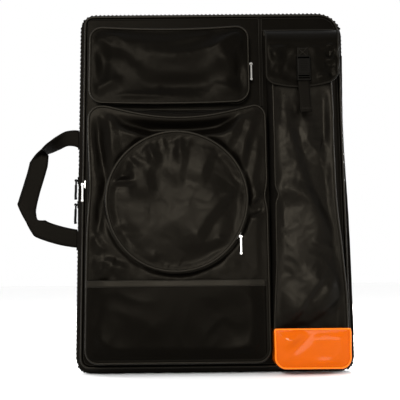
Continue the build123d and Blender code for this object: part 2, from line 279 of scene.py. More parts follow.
# ---- materials ----------------------------------------------------------------------------
class Graph:
    """A new material, with short ways to add nodes to it."""

    def __init__(self, name, **values):
        self.material = bpy.data.materials.new(name)
        self.material.use_nodes = True
        self.tree = self.material.node_tree
        self.shader = self.tree.nodes["Principled BSDF"]
        self.fill(self.shader, **values)
        self.place = self.tree.nodes.new("ShaderNodeTexCoord")

    def fill(self, node, **values):
        """Set a node's sockets; a name's _ stands for a space."""
        for socket, value in values.items():
            node.inputs[socket.replace("_", " ")].default_value = value

    def add(self, kind, **values):
        """A new node; a texture is laid in the piece's own coordinates."""
        node = self.tree.nodes.new("ShaderNode" + kind)
        self.fill(node, **values)
        if kind.startswith("Tex"):
            self.link(self.place, "Object", node, "Vector")
        return node

    def link(self, source, output, target, socket):
        self.tree.links.new(source.outputs[output], target.inputs[socket])

    def vary(self, texture, color, spread, low, high):
        """Let a texture change the tone by a spread, and the roughness between two values."""
        tone = self.add("Mix")
        tone.data_type = "RGBA"
        self.fill(tone, A=(*[c * (1 - spread) for c in color], 1),
                  B=(*[min(1.0, c * (1 + spread)) for c in color], 1))
        gloss = self.add("MapRange", To_Min=low, To_Max=high)
        self.link(texture, "Fac", tone, "Factor")
        self.link(tone, "Result", self.shader, "Base Color")
        self.link(texture, "Fac", gloss, "Value")
        self.link(gloss, "Result", self.shader, "Roughness")


WAVES = 0.314  # a wave texture's scale times its pitch in metres
FINE = 0.0002  # how far a weave or grain stands out


def woven(name, color, roughness, pitch, relief, sheen=0.0, specular=0.2):
    """Cloth or webbing: crossed threads of one pitch, with slow changes of tone and gloss."""
    look = Graph(name, Sheen_Weight=sheen, Sheen_Roughness=0.4, Specular_IOR_Level=specular,
                 Specular_Tint=(1.0, 0.88, 0.68, 1))
    weave = look.add("Math")
    weave.operation = "MULTIPLY"
    for k, direction in enumerate(("X", "Z")):
        thread = look.add("TexWave", Scale=WAVES / pitch, Distortion=0.6)
        thread.bands_direction = direction
        look.link(thread, "Fac", weave, k)
    cloud = look.add("TexNoise", Scale=14.0, Detail=5.0)
    look.vary(cloud, color, 0.25, roughness - 0.07, roughness + 0.09)
    threads = look.add("Bump", Strength=relief, Distance=FINE)
    look.link(weave, "Value", threads, "Height")
    crease = look.add("TexNoise", Scale=120.0, Detail=3.0)
    soft = look.add("Bump", Strength=0.25, Distance=3 * FINE)
    look.link(crease, "Fac", soft, "Height")
    look.link(threads, "Normal", soft, "Normal")
    look.link(soft, "Normal", look.shader, "Normal")
    return look.material


def moulded(name, color, roughness, metallic=0.0, coat=0.0, grain=900.0, relief=0.1, tint=0.12,
            specular=0.5):
    """Plastic or metal with a fine grain and small changes of tone."""
    look = Graph(name, Metallic=metallic, Specular_IOR_Level=specular, Specular_Tint=(1.0, 0.92, 0.8, 1),
                 Coat_Weight=coat, Coat_Roughness=0.08)
    speckle = look.add("TexNoise", Scale=grain, Detail=4.0)
    look.vary(speckle, color, tint, max(0.02, roughness - 0.05), roughness + 0.08)
    height = look.add("Bump", Strength=relief, Distance=FINE)
    look.link(speckle, "Fac", height, "Height")
    look.link(height, "Normal", look.shader, "Normal")
    return look.material


NYLON = woven("black nylon", (0.0014, 0.0011, 0.0008), 0.34, 0.0009, 0.25, specular=0.042)
# A darker, less glossy copy of the black nylon: painted shade, used on the front panel, the top pocket, the
# slip pocket and the flap.
SHADED_NYLON = woven("black nylon, painted shade", (0.0009, 0.0007, 0.0005), 0.36, 0.0009, 0.25, specular=0.026)
WALL_NYLON = woven("black nylon, matt side", (0.0042, 0.0036, 0.0029), 0.62, 0.0009, 0.25, specular=0.0)
EDGE_TAPE = woven("flap edge tape", (0.0014, 0.0012, 0.0009), 0.5, 0.0007, 0.35, specular=0.06)
# A lighter, glossier copy of the black nylon: painted light, used on the long pocket's face.
LIT_NYLON = woven("black nylon, painted light", (0.0016, 0.0013, 0.001), 0.34, 0.0009, 0.25, specular=0.058)
BINDING = woven("binding tape", (0.0018, 0.0015, 0.0011), 0.38, 0.0007, 0.35, specular=0.11)
LINING = woven("lining cloth", (0.018, 0.018, 0.019), 0.6, 0.001, 0.3, sheen=0.05)
WEBBING = woven("webbing", (0.0011, 0.0009, 0.0007), 0.5, 0.0022, 0.9, specular=0.03)
ZIP_TAPE = woven("zip tape", (0.0014, 0.0012, 0.001), 0.55, 0.0008, 0.4, specular=0.04)
TEETH = moulded("zip teeth", (0.0046, 0.0042, 0.0036), 0.5, specular=0.02)
THREAD = woven("thread", (0.006, 0.0054, 0.0046), 0.5, 0.0004, 0.4, specular=0.12)
BUCKLE = moulded("buckle plastic", (0.0018, 0.0016, 0.0013), 0.46, relief=0.2, specular=0.03)
ORANGE = moulded("orange vinyl", (0.37, 0.06, 0.0002), 0.08, coat=0.05, grain=60.0, relief=0.12, tint=0.05,
                 specular=0.05)
# A lighter copy of the orange vinyl for its rolled rim: a painted highlight along the edge.
ORANGE_EDGE_HIGHLIGHT = moulded("orange rolled edge, painted highlight", (0.62, 0.12, 0.004), 0.25, coat=0.1, grain=200.0, tint=0.08,
                      specular=0.08)
SILVER = moulded("nickel plate", (0.3, 0.29, 0.27), 0.2, metallic=1.0, grain=300.0, relief=0.05)
BLACK_METAL = moulded("black lacquered metal", (0.004, 0.004, 0.004), 0.5, specular=0.0)
SLEEVE = moulded("rubber sleeve", (0.003, 0.003, 0.003), 0.6, specular=0.02)
BOARD = moulded("grey board", (0.3, 0.25, 0.19), 0.85, grain=260.0, relief=0.5)


def paint(node, material):
    """Give a carried-over CAD node its finished material."""
    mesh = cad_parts[node].data
    mesh.materials.clear()
    mesh.materials.append(material)
    for polygon in mesh.polygons:
        polygon.material_index = 0


def fold(distance, width):
    """Section across a fold: a narrow crest with broad slopes."""
    crest = 0.35 * width
    return np.exp(-(np.sqrt(distance**2 + crest**2) - crest) / width)


def facet(distance, width):
    """Section across a flat slope that ends at width, softened at its crest and foot."""
    rise = 1 - np.sqrt(distance**2 + (0.1 * width) ** 2) / width
    return 0.5 * (rise + np.sqrt(rise**2 + 0.008))


def crumpled(x, z, size, seed):
    """Slack cloth: flat facets that meet along narrow crests, from -1 to 1."""
    warp_x = x + 0.4 * size * rough(x, z, 1.3 * size, seed + 0.3)
    warp_z = z + 0.4 * size * rough(z, x, 1.3 * size, seed + 0.7)
    return 1 - 3.2 * np.sqrt(rough(warp_x, warp_z, size, seed) ** 2 + 0.003)


def box_rect(node):
    """Left, right, low and high edge of a CAD node."""
    low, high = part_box(node)
    return (low[0], high[0], low[2], high[2])


def depths(node):
    """Depth of a CAD node's back and of its front."""
    low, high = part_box(node)
    return -high[1], -low[1]


# ---- the case -----------------------------------------------------------------------------
case_low, case_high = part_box("front_gusset")
case_rect = box_rect("front_gusset")
case_radii = [0.028, 0.028, 0.046, 0.026]
half_depth = depths("front_gusset")[1]
panel_inset = box_rect("front_panel")[0] - case_rect[0]
spine_low, spine_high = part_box("front_spine")


def right_hollow(x, z):
    """How far the spine side is drawn in above its middle."""
    return 0.0045 * bump(z, 0.43, 0.13) * (x > 0.2)


def shoulder_slope(depth, z):
    """How far the soft sides fall in from the zip towards the panels; less where it stands."""
    out = np.abs(depth)
    slope = ease(0.002, 0.016, out) * (1 - 0.8 * ease(0.02, 0.0262, out))
    return slope * np.where(depth > 0, 0.0048, 0.0025) * (0.35 + 0.65 * ease(0.0, 0.03, z))


def stuffed(x, z, side):
    """How far the soft sides stand out from the straight outline: a little slack and pull."""
    slack = 0.0011 * rough(x + z, x - z, 0.055, 3.0 + side)
    left_swell = 0.003 * bump(z, 0.3, 0.2) * (x < 0)
    return slack + left_swell - right_hollow(x, z)


def case_shell(prefix, side, body):
    """Gusset, panel, piping, lining and board of one half of the case."""
    loop, out = loop_of(case_rect, case_radii, 0.006)
    profile = smooth_line(
        [(0.0012, 0.003), (0.0002, 0.0085), (0.001, 0.016), (0.0052, 0.0232), (0.0125, 0.0262)], 12
    )
    s = along(loop)
    x, z, depth = [], [], []
    for inset, out_depth in profile:
        mid = bump(out_depth, 0.013, 0.009)
        swell = (stuffed(loop[:, 0], loop[:, 1], side) + 0.0009 * rough(s, 0 * s, 0.016, 5 + side)) * mid
        swell = swell - right_hollow(loop[:, 0], loop[:, 1]) * (1 - mid)
        swell = swell - shoulder_slope(side * out_depth, loop[:, 1])
        swell = np.where(loop[:, 1] < 0.03, np.minimum(swell, 0.0), swell)
        x.append(loop[:, 0] + out[:, 0] * (swell - inset))
        z.append(np.maximum(loop[:, 1] + out[:, 1] * (swell - inset), 0.0002))
        depth.append(side * (out_depth + 0.0007 * rough(s, 0 * s + out_depth, 0.03, 8 + side)))
    gusset = sheet_piece(f"{prefix}_gusset_cloth", np.array(x), np.array(depth), np.array(z), WALL_NYLON,
                         body, flip=side < 0, wrap=True)
    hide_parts(f"{prefix}_gusset")

    px, pz, u, v = patch(sides_of(case_rect, case_radii, -panel_inset + 0.002), 60, 80)
    edge = np.minimum(np.minimum(u, 1 - u), np.minimum(v, 1 - v))
    puff = ease(0.0, 0.08, edge)
    waves = 0.0011 * rough(px, pz, 0.13, 20 + side) + 0.0005 * rough(px, pz, 0.035, 30 + side)
    if side < 0:
        waves = waves + 0.0012 * crumpled(px, pz, 0.11, 36.0) + 0.0005 * crumpled(px, pz, 0.045, 37.0)
    depth = half_depth + (0.0004 + waves + 0.0009) * puff
    if side < 0:
        depth += 0.0012 * puff * bump(px, 0.02, 0.2) * bump(pz, 0.3, 0.25)
    # The front panel gets the darker copy of the nylon: painted shade.
    panel = sheet_piece(f"{prefix}_panel_cloth", px, side * depth, pz, SHADED_NYLON if side > 0 else NYLON,
                        body, flip=side < 0)
    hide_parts(f"{prefix}_panel")

    line, _ = loop_of(case_rect, case_radii, 0.005, -panel_inset + 0.0016)
    piping = tube(f"{prefix}_piping_cord", line_at(line[:, 0], side * (half_depth + 0.0011), line[:, 1]),
                  0.0019, BINDING, body, closed=True)
    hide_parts(f"{prefix}_piping")
    seam, _ = loop_of(case_rect, case_radii, 0.005, -panel_inset - 0.003)
    seam = line_at(seam[:, 0], side * (half_depth + 0.0012), seam[:, 1])
    stitches(f"{prefix}_piping_stitches", stitch_places(seam, (0, -side, 0), closed=True), body)

    back, front = depths(f"{prefix}_lining")
    inner = back if side > 0 else -front
    lx, lz, u, v = patch(sides_of(case_rect, case_radii, -0.016), 40, 52)
    edge = np.minimum(np.minimum(u, 1 - u), np.minimum(v, 1 - v))
    ripple = 0.0004 * (1 + rough(lx, lz, 0.05, 40 + side)) * ease(0, 0.06, edge)
    lining = sheet_piece(f"{prefix}_lining_cloth", lx, side * (inner - ripple), lz, LINING, body,
                         "lining_cloth", thickness=0.0008, flip=side > 0)
    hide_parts(f"{prefix}_lining")
    paint(f"{prefix}_board", BOARD)


TOOTH_PITCH = 0.0076


def zip_half(prefix, side, body):
    """One side of the main zip: its tape and its row of teeth, open along the spine."""
    line, out = loop_of(case_rect, case_radii, 0.005, -0.0008)
    line[:, 0] -= right_hollow(line[:, 0], line[:, 1])
    on = ~((line[:, 0] > 0.2) & (line[:, 1] > spine_low[2]) & (line[:, 1] < spine_high[2]))
    start = int(np.argmax(~on & np.roll(on, -1))) + 1
    order = (np.arange(on.sum()) + start) % len(on)
    line, out = line[order], out[order]
    rows = side * np.array([0.0009, 0.0035, 0.0062])
    x, d, z = np.broadcast_arrays(line[:, 0], rows[:, None], line[:, 1])
    tape = sheet_piece(f"{prefix}_zip_tape", x, d, z, ZIP_TAPE, body, "zip_nylon", thickness=0.0007,
                       flip=side < 0)
    s = along(line)
    first = 0.25 if side > 0 else 0.75  # the two rows' teeth alternate
    at = (np.arange(int(s[-1] / TOOTH_PITCH)) + first) * TOOTH_PITCH
    places = []
    for a, b, c, e in zip(*[np.interp(at, s, values) for values in (*line.T, *out.T)]):
        push = 0.002 if b > 0.004 else -0.0003  # out from the tape, or inside the foot
        if a > case_high[0] - 0.004:  # the covers fold back to back here
            push = -0.0008
        if a < case_low[0] + 0.004:  # the sliders run here
            push = 0.0002
        centre = np.array([a + c * push, -side * 0.00155, b + e * push])
        places.append((centre, (-e, 0, c), (c, 0, e)))
    teeth = blocks(f"{prefix}_zip_teeth", places, (0.0042, 0.0044, 0.0026), TEETH, body,
                   bevel=0.0009)
    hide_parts(f"{prefix}_zip")
    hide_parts(f"{prefix}_zip")


for prefix, side, body in (("back", -1, "back_half"), ("front", 1, "front_cover")):
    case_shell(prefix, side, body)
    zip_half(prefix, side, body)

# spine: one strip of cloth round the right side, between the halves, attached to no body
spine_z = np.linspace(spine_low[2] - 0.003, spine_high[2] + 0.003, 90)
spine_depth = np.linspace(-0.0155, 0.0155, 13)
sz, sd = np.meshgrid(spine_z, spine_depth)
sx = case_high[0] + 0.0011 + 0.0003 * rough(sz, sd, 0.02, 51.0) - right_hollow(case_high[0], sz)
sx = sx - shoulder_slope(sd, sz)
spine = sheet_piece("spine_cloth", sx, sd, sz, WALL_NYLON, None, thickness=0.0009)
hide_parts("front_spine", "back_spine")
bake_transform(spine)


# ---- folds and pockets --------------------------------------------------------------------
def folds(x, z, creases=(), dents=(), hammocks=()):
    """Depth added to a cloth face.

    In millimetres, a crease is (x0, z0, x1, z1, width, height), a dent (x, z, x size, z size,
    height), and a hammock, a fold that hangs between two sides, (x, lowest z, rise, half span,
    width, height).
    """
    total = np.zeros_like(x)
    wander = 0.0024 * rough(x, z, 0.03, 71.0)
    for x0, z0, x1, z1, width, height in np.reshape(creases, (-1, 6)) / 1000:
        length = math.hypot(x1 - x0, z1 - z0)
        t = ((x - x0) * (x1 - x0) + (z - z0) * (z1 - z0)) / length**2
        d = ((x - x0) * (z1 - z0) - (z - z0) * (x1 - x0)) / length + wander
        taper = ease(-0.3, 0.3, t) * ease(1.3, 0.7, t)
        total += 1.15 * height * taper * (fold(d, 1.6 * width)
                                          - 0.4 * bump(d, 2.8 * width, 1.9 * width))
    for cx, cz, rx, rz, height in np.reshape(dents, (-1, 5)) / 1000:
        total += height * np.exp(-(((x - cx) / rx) ** 2) - ((z - cz) / rz) ** 2)
    for cx, lowest, rise, span, width, height in np.reshape(hammocks, (-1, 6)) / 1000:
        d = z - (lowest + rise * ((x - cx) / span) ** 2) + wander
        reach = ease(1.15, 0.75, np.abs(x - cx) / span)
        total += height * reach * (bump(d, 0, width) - 0.5 * bump(d, -1.8 * width, 1.2 * width))
    return total


def ridges(x, z, lines):
    """Depth added by long flat-sided folds whose two slopes differ.

    Each is (points, width of its left slope, width of its right slope, height), in millimetres.
    """
    total = np.zeros_like(x)
    wander = 0.002 * rough(x, z, 0.035, 72.0)
    for points, *sizes in lines:
        points = np.array(points) / 1000
        left, right, height = np.array(sizes) / 1000
        at = along(points)
        nearest, side, run = np.full(x.shape, 9.0), np.zeros_like(x), np.zeros_like(x)
        for a, b, start in zip(points[:-1], points[1:], at):
            step = b - a
            length = np.hypot(*step)
            t = np.clip(((x - a[0]) * step[0] + (z - a[1]) * step[1]) / length**2, 0, 1)
            away_x, away_z = x - a[0] - t * step[0], z - a[1] - t * step[1]
            distance = np.hypot(away_x, away_z)
            to_right = (away_x * -step[1] + away_z * step[0]) / length * (1 if step[1] < 0 else -1)
            closer = distance < nearest
            nearest = np.where(closer, distance, nearest)
            side = np.where(closer, to_right, side)
            run = np.where(closer, start + t * length, run)
        share = run / at[-1]
        width = left + (right - left) * ease(-0.001, 0.001, side + wander)
        taper = ease(-0.08, 0.3, share) * ease(1.08, 0.7, share)
        total += height * taper * facet(nearest, width)
    return total


def puckers(x, z, edge, seed):
    """Small pulled wrinkles where cloth is gathered into a seam; edge is the distance to it."""
    fine = rough(x, z, 0.0075, seed) + 0.6 * rough(x, z, 0.0035, seed + 1)
    return 0.001 * fine * bump(edge, 0.006, 0.008)


def rows_of(lines):
    """Grids of x, depth and z from lines that each hold the three."""
    return [np.array([line[k] for line in lines]) for k in range(3)]


def pocket_piece(name, sides, base, face, warp, relief, grid, seed, crown, slack, cord=0.0019,
                 bulge=0.002, zip_span=None, zip_at=0.7, material=NYLON):
    """A soft boxed pocket: wall, zip band, teeth, face and piping, each replacing its CAD node.

    base and face are functions of x and z that give depths, warp moves the face's x and z, and
    relief gives its folds. zip_span says where the zip runs, and zip_at where on the wall.
    """
    flat = np.concatenate([side[:-1] for side in sides])
    loop = resample(flat, int(along(flat, True)[-1] / 0.004), True)
    t = tangents(loop, True)
    out = np.stack([t[:, 1], -t[:, 0]], axis=1)
    wx, wz = warp(loop[:, 0], loop[:, 1])
    start = np.column_stack([loop[:, 0], base(loop[:, 0], loop[:, 1]), loop[:, 1]])
    end = np.column_stack([wx, face(wx, wz), wz])
    s = along(loop)

    def wall(rise, lift=0.0):
        sag = bulge * math.sin(math.pi * rise) * (1 + 0.6 * rough(s, 0 * s, 0.05, seed + 9))
        sag = sag + 0.0009 * math.sin(math.pi * rise) * rough(s, 0 * s, 0.012, seed + 11)
        p = start + (end - start) * rise
        side_out = sag + lift
        return p[:, 0] + out[:, 0] * side_out, p[:, 1], p[:, 2] + out[:, 1] * side_out

    gusset = sheet_piece(f"{name}_wall_cloth", *rows_of([wall(r) for r in np.linspace(0, 1, 12)]),
                         WALL_NYLON, wrap=True)
    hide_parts(f"{name}_gusset")

    keep = np.ones(len(loop), bool) if zip_span is None else zip_span(loop[:, 0], loop[:, 1])
    first = int(np.argmax(keep & ~np.roll(keep, 1))) if not keep.all() else 0
    order = (np.arange(keep.sum()) + first) % len(loop)
    closed = bool(keep.all())
    band_rows = rows_of([wall(r, 0.0007) for r in np.linspace(zip_at - 0.17, zip_at + 0.17, 5)])
    band = sheet_piece(f"{name}_zip_tape", *[part[:, order] for part in band_rows],
                       ZIP_TAPE, slot="zip_nylon", thickness=0.0006, wrap=closed)
    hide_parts(f"{name}_zip")
    cx, cd, cz = [part[order] for part in wall(zip_at, 0.0009)]
    chain = line_at(cx, cd, cz)
    chain = resample(chain, int(along(chain)[-1] / 0.0026))
    dirs = tangents(chain)
    places = list(zip(chain, dirs, line_at(dirs[:, 2], 0.0, -dirs[:, 0])))
    teeth = blocks(f"{name}_zip_teeth", places, (0.0016, 0.0014, 0.004), TEETH, "front_cover",
                   bevel=0.0003)
    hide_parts(f"{name}_zip")

    x, z, u, v = patch(sides, *grid)
    rim_points = resample(flat, int(along(flat, True)[-1] / 0.0015), True)
    edge = np.min([np.hypot(x - a, z - b) for a, b in rim_points], axis=0)
    x, z = warp(x, z)
    depth = face(x, z) + crown * ease(0, 0.045, edge)
    depth = depth + relief(x, z) * ease(0.0, 0.016, edge) + 0.25 * puckers(x, z, edge, seed + 20)
    waves = (0.0016 * rough(x, z, 0.08, seed + 13) + 0.0011 * crumpled(x, z, 0.055, seed + 14)
             + 0.0004 * crumpled(x, z, 0.02, seed + 15))
    depth = depth + slack * waves * ease(0.0, 0.02, edge)
    cloth = sheet_piece(f"{name}_face_cloth", x, depth, z, material)
    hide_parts(f"{name}_face")

    rim, foot = [line_at(edge[:, 0] + out[:, 0] * gap, edge[:, 1] + 0.0006, edge[:, 2] + out[:, 1] * gap)
                 for edge, gap in ((end, 0.0006), (start, 0.0012))]
    piping = tube(f"{name}_piping_cord", rim, cord, BINDING, closed=True)
    tube(f"{name}_foot_binding", foot, 0.0014, BINDING, closed=True)
    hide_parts(f"{name}_piping")


# top pocket: its upper edge hangs a little and the cloth slumps between its sides
top_rect = box_rect("top_pocket_face")
top_face = depths("top_pocket_face")[1]
top_base = depths("top_pocket_gusset")[0]


def top_warp(x, z):
    middle = (top_rect[0] + top_rect[1]) / 2
    across = 1 - ((x - middle) / (top_rect[1] - top_rect[0]) * 2) ** 2
    sag = 0.006 * np.clip(across, 0, 1) * ease(top_rect[3] - 0.09, top_rect[3], z)
    lift = 0.003 * np.clip(across, 0, 1) * ease(top_rect[2] + 0.05, top_rect[2], z)
    return x, z - sag - lift


def top_relief(x, z):
    return folds(
        x, z,
        creases=[
            (-204, 592, -150, 562, 9, 4.2),
            (48, 602, 4, 572, 7, 4.5),
            (52, 588, 22, 545, 8, 3.4),
            (-207, 496, -168, 518, 7, 3.4),
            (40, 492, -8, 512, 8, 3.6),
            (0, 572, 36, 528, 12, 3.4),
            (-185, 562, -160, 512, 13, -3.2),
        ],
        dents=[
            (-70, 556, 105, 26, 5),
            (-60, 507, 70, 16, -7.5),
            (-120, 486, 50, 6, 3),
            (22, 540, 20, 34, 3),
            (-196, 545, 12, 34, -5),
            (50, 530, 10, 30, -4),
        ],
        hammocks=[
            (-95, 584, 22, 100, 11, 2.6),
            (-70, 560, 34, 110, 15, 4),
            (-62, 526, 40, 95, 16, 3),
        ],
    )


def top_zip(x, z):
    return z > top_rect[2] + 0.03


# The top pocket's face gets the darker copy of the nylon: painted shade.
pocket_piece("top_pocket", sides_of(top_rect, [0.022] * 4), lambda x, z: top_base + 0 * x,
             lambda x, z: top_face - 0.0015 + 0 * x, top_warp, top_relief, grid=(110, 60), seed=100.0,
             crown=0.003, slack=0.45, zip_span=top_zip, material=SHADED_NYLON)

# large pocket: its upper edge sags, so the gusset and zip over it show
large_rect = box_rect("large_pocket_face")
large_face = depths("large_pocket_face")[1]
large_base = depths("large_pocket_gusset")[0]
round_rect = box_rect("round_pocket_face")
round_centre = np.array([(round_rect[0] + round_rect[1]) / 2, (round_rect[2] + round_rect[3]) / 2])
round_radius = (round_rect[1] - round_rect[0]) / 2


def large_warp(x, z):
    middle = -0.058
    across = np.clip(1 - ((x - middle) / 0.135) ** 2, 0, 1)
    sag = 0.021 * across**1.3 * ease(large_rect[3] - 0.1, large_rect[3], z)
    pinch = (0.0045 + 0.0045 * bump(z, 0.325, 0.06)) * ease(-0.15, large_rect[0], x)
    tuck = 0.004 * bump(z, 0.302, 0.016) * ease(0.05, large_rect[1], x)
    return x + pinch - tuck, z - sag


def large_relief(x, z):
    raised = ridges(
        x, z,
        [
            ([(50, 456), (34, 410), (10, 366)], 26, 12, 7),
            ([(74, 450), (56, 400), (42, 340)], 22, 12, 7.5),
            ([(84, 410), (72, 360), (64, 306)], 14, 10, 4),
            ([(-182, 456), (-176, 400), (-174, 360)], 20, 16, 6),
            ([(-186, 450), (-150, 422), (-120, 408)], 14, 24, 7),
            ([(88, 310), (70, 297), (54, 284)], 18, 8, 7.5),
            ([(74, 280), (70, 236), (72, 160)], 26, 10, 2.2),
            ([(-208, 240), (-198, 220), (-184, 208)], 14, 12, 4.5),
            ([(-208, 184), (-190, 194), (-162, 186)], 14, 10, 3.5),
            ([(-198, 164), (-172, 184), (-144, 178)], 18, 12, 5),
            ([(0, 172), (24, 182), (46, 184)], 16, 12, 1.8),
            ([(-120, 170), (-60, 162), (-4, 168)], 14, 14, 2.2),
        ],
    )
    raised = raised + folds(
        x, z,
        creases=[
            (-204, 430, -190, 335, 7, -8.5),
            (-186, 340, -200, 245, 7, -7.5),
            (60, 272, 86, 284, 4, -5),
        ],
        dents=[(-70, 426, 95, 13, -12), (-120, 420, 32, 14, -4.5),
               (-0, 424, 30, 12, -4), (56, 200, 26, 30, -2.6),
               (-188, 285, 12, 40, 2)],
        hammocks=[(-66, 419, 28, 118, 11, -10)],
    )
    r = np.hypot(x - round_centre[0], z - round_centre[1])
    return raised * ease(round_radius - 0.004, round_radius + 0.012, r) - 0.0035 * bump(
        r, round_radius + 0.0045, 0.005)


def large_zip(x, z):
    return z > 0.31


def large_depth(x, z):
    slump = 0.0028 * bump(x, -0.06, 0.14) * ease(0.41, large_rect[3], z)
    return large_face - 0.0015 - slump


pocket_piece("large_pocket", sides_of(large_rect, [0.02] * 4), lambda x, z: large_base + 0 * x,
             large_depth, large_warp, large_relief, grid=(130, 170), seed=200.0, crown=0.0022, slack=0.8,
             zip_span=large_zip, zip_at=0.55, bulge=0.0025)


# round pocket: gathered into its rim at the upper left
def round_base(x, z):
    return large_face + 0.0002 + 0 * x


def round_warp(x, z):
    a = np.arctan2(z - round_centre[1], x - round_centre[0])
    wobble = 1 + 0.004 * np.sin(3 * a + 0.6) + 0.003 * np.sin(5 * a)
    return round_centre[0] + (x - round_centre[0]) * wobble, round_centre[1] + (z - round_centre[1]) * wobble


def rim_gathers():
    """Creases that run in from the rim: an angle in degrees, and a length, width and height."""
    creases = []
    for angle, length, width, height in (
        (78, 20, 3.8, 2.1), (86, 40, 4.8, 3.6), (95, 20, 3.6, 1.8), (103, 26, 4.2, 3.15),
        (110, 18, 3.6, 1.95), (117, 40, 5.2, 4.2), (127, 22, 4, 2.25), (138, 24, 4.6, 2.4),
        (203, 16, 3.6, 1.5), (247, 18, 4, 1.8), (318, 20, 4, 2.1), (45, 20, 4, 1.65),
    ):
        way = np.array([math.cos(math.radians(angle)), math.sin(math.radians(angle))])
        outer = 1000 * round_centre + (1000 * round_radius - 6) * way
        creases.append((*outer, *(outer - length * way), width, height))
    return creases


def round_relief(x, z):
    long_folds = ridges(
        x, z,
        [
            ([(30, 318), (-16, 262), (-48, 206)], 75, 18, 10),
            ([(6, 398), (-14, 358), (-28, 322)], 50, 14, 6.5),
            ([(-40, 216), (2, 228), (40, 240)], 24, 18, 6),
            ([(-152, 222), (-122, 202), (-84, 190)], 14, 40, 4),
            ([(-98, 398), (-114, 340), (-112, 290)], 40, 14, 5),
            ([(-52, 404), (-56, 360), (-64, 314)], 34, 12, 4),
            ([(-150, 366), (-132, 330), (-126, 296)], 16, 24, 4),
        ],
    )
    return long_folds - 0.005 + folds(
        x, z,
        creases=rim_gathers() + [
            (-171, 326, -138, 329, 3, 4.5),
            (-168, 337, -142, 339, 4, -3.5),
            (20, 300, 44, 322, 5, 3.5),
        ],
        dents=[(-110, 245, 40, 30, 3), (12, 262, 14, 16, 2.4)],
    )


round_face = depths("round_pocket_face")[1]
pocket_piece("round_pocket", circle_sides(round_centre, round_radius), round_base,
             lambda x, z: round_face - 0.0015 + 0 * x, round_warp, round_relief, grid=(110, 110),
             seed=300.0, crown=0.0035, slack=0.6, cord=0.0023, bulge=0.0007, zip_at=0.48)

# slip pocket: a sheet sewn to the large pocket's lower part, loose along its hemmed top
slip_rect = box_rect("slip_pocket")
slip_face = depths("slip_pocket")[1]
SLIP_ROWS = 44


def slip_depth(x, z, u, v):
    edge = np.minimum(np.minimum(u, 1 - u), v * 0.6)
    loose = ease(0.0, 0.1, edge)
    hang = folds(
        x, z,
        creases=[(-200, 66, -150, 40, 8, 3), (52, 46, 74, 120, 8, 3.4),
                 (-190, 130, -204, 80, 7, -3), (10, 36, 64, 56, 7, 2.8),
                 (-140, 110, -90, 70, 12, 2.2), (-10, 120, 30, 60, 12, -2.4)],
        dents=[(-60, 100, 90, 50, 3), (30, 80, 30, 50, -2.2)],
    )
    waves = 0.0013 * rough(x, z, 0.08, 401.0) + 0.001 * crumpled(x, z, 0.045, 402.0)
    return large_face + 0.0022 + (slip_face - large_face - 0.0022 + hang + waves) * loose + 0.001 * v


x, z, u, v = patch(sides_of(slip_rect, [0.015, 0.015, 0.0005, 0.0005]), 90, SLIP_ROWS)
depth = slip_depth(x, z, u, v)
# The slip pocket gets the darker copy of the nylon: painted shade.
slip = sheet_piece("slip_pocket_cloth", x, depth, z, SHADED_NYLON)
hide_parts("slip_pocket")
hem_share = (box_rect("slip_pocket_hem")[2] - slip_rect[2]) / (slip_rect[3] - slip_rect[2])
first_row = int(round(SLIP_ROWS * hem_share))
hem = sheet_piece("slip_hem_band", x[first_row:], depth[first_row:] + 0.0009, z[first_row:] + 0.0004,
                  BINDING, slot="binding_tape", thickness=0.0018)
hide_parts("slip_pocket_hem")
for row, inward in ((first_row, 0.0016), (SLIP_ROWS, -0.0016)):
    line = line_at(x[row], depth[row] + 0.0012, z[row] + inward)
    stitches(f"slip_hem_stitches_{row}", stitch_places(line, (0, -1, 0)))


# ---- long pocket and its end patch --------------------------------------------------------
long_rect = box_rect("long_pocket")
long_base, long_face = depths("long_pocket")
patch_box = box_rect("end_patch")
patch_top = patch_box[3] - 0.007


def long_outline(rise, z):
    """Left and right edges of the pocket: rise is 0 at the panel and 1 at the face."""
    left = long_rect[0] + rise * (0.0075 * ease(0.06, 0.22, z) + 0.0015 * rough(z, 0 * z, 0.09, 61.0))
    drawn_in = 0.002 + 0.0125 * ease(0.12, 0.33, z) - 0.0015 * rough(z, 0 * z, 0.07, 62.0)
    right = long_rect[1] - rise * drawn_in
    notch = 0.005 * rise * bump(z, 0.304, 0.01)
    return left + notch, right


FOLD_SHARE = 0.8  # of the heights in the long pocket's and the flap's tables


def long_relief(x, z):
    long_folds = ridges(
        x, z,
        [
            ([(122, 470), (138, 385), (153, 325), (166, 292), (186, 252), (206, 222)],
             60, 16, 11),
            ([(176, 450), (164, 400), (182, 374), (210, 384)], 18, 30, 6.5),
            ([(106, 322), (150, 302), (172, 280)], 30, 22, 7),
            ([(180, 284), (168, 207), (192, 176), (220, 134)], 62, 34, 13),
            ([(188, 176), (156, 134), (124, 90)], 36, 11, 9.5),
            ([(204, 160), (180, 128), (158, 94)], 16, 36, 8),
            ([(222, 134), (196, 122), (170, 98)], 20, 16, 5.5),
            ([(114, 440), (124, 400), (122, 350)], 18, 18, 2.4),
            ([(90, 98), (150, 112), (212, 160)], 150, 30, 15),
        ],
    )
    small = folds(
        x, z,
        creases=[
            (106, 312, 122, 304, 4, 3.5),
            (166, 221, 200, 212, 4, 3.5),
            (108, 262, 120, 240, 5, 2.2),
        ],
        dents=[(186, 425, 18, 26, -6), (140, 288, 26, 12, -3.5)],
    )
    return long_folds + small - 0.0095


